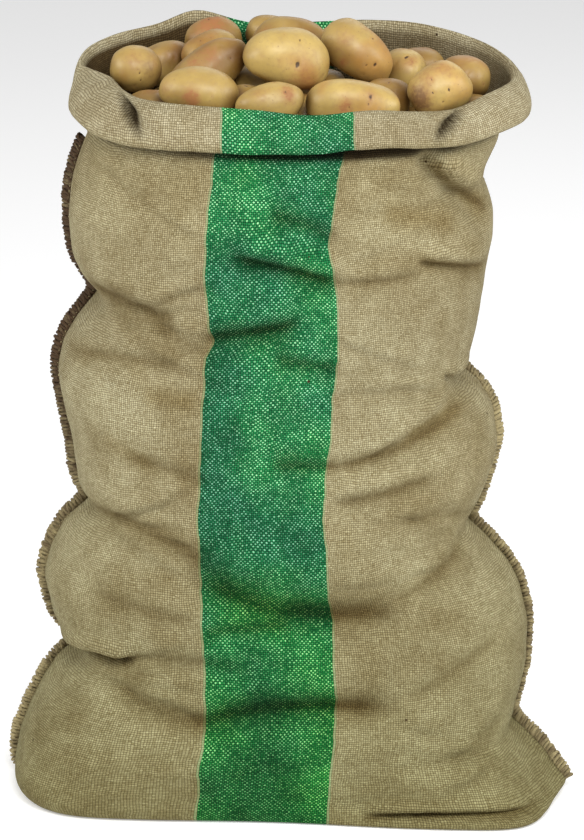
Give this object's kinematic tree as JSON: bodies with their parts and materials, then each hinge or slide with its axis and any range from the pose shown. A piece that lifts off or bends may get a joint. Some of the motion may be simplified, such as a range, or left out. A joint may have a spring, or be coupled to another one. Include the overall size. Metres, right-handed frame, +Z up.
{
  "type": "filled hessian sack",
  "caption": "Full hessian sack standing upright on its sewn base, side seams bulging, with its mouth rolled down into a cuff around a heap of potatoes.",
  "frame": {"origin": "the middle of the sack's flat base, on the floor it stands on", "axes": "+Z up, -Y towards the front with the cuff's two tucks, +X to the right seen from the front"},
  "size_m": [0.5761, 0.3476, 0.7765],
  "materials": {
    "hessian": "coarse plain-woven jute, matte, with a green woven stripe down the middle",
    "seam_yarn": "coarse jute overlock stitching, matte",
    "potato_skin": "thin waxy potato skin with eyes and specks"
  },
  "bodies": {
    "root": {"sack_cloth": "hessian", "seam_left": "seam_yarn", "seam_right": "seam_yarn", "potato_01": "potato_skin", "potato_02": "potato_skin", "potato_03": "potato_skin", "potato_04": "potato_skin", "potato_05": "potato_skin", "potato_06": "potato_skin", "potato_07": "potato_skin", "potato_08": "potato_skin", "potato_09": "potato_skin", "potato_10": "potato_skin", "potato_11": "potato_skin", "potato_12": "potato_skin", "potato_13": "potato_skin", "potato_14": "potato_skin", "potato_15": "potato_skin", "potato_16": "potato_skin", "potato_17": "potato_skin", "potato_18": "potato_skin", "potato_19": "potato_skin", "potato_20": "potato_skin", "potato_21": "potato_skin", "potato_22": "potato_skin", "potato_23": "potato_skin", "potato_24": "potato_skin", "potato_25": "potato_skin", "potato_26": "potato_skin", "potato_27": "potato_skin", "potato_28": "potato_skin", "potato_29": "potato_skin", "potato_30": "potato_skin", "potato_31": "potato_skin", "potato_32": "potato_skin", "potato_33": "potato_skin", "potato_34": "potato_skin", "potato_35": "potato_skin", "potato_36": "potato_skin", "potato_37": "potato_skin", "potato_38": "potato_skin", "potato_39": "potato_skin", "potato_40": "potato_skin", "potato_41": "potato_skin", "potato_42": "potato_skin", "potato_43": "potato_skin", "potato_44": "potato_skin", "potato_45": "potato_skin", "potato_46": "potato_skin", "potato_47": "potato_skin"}
  },
  "joints": []
}
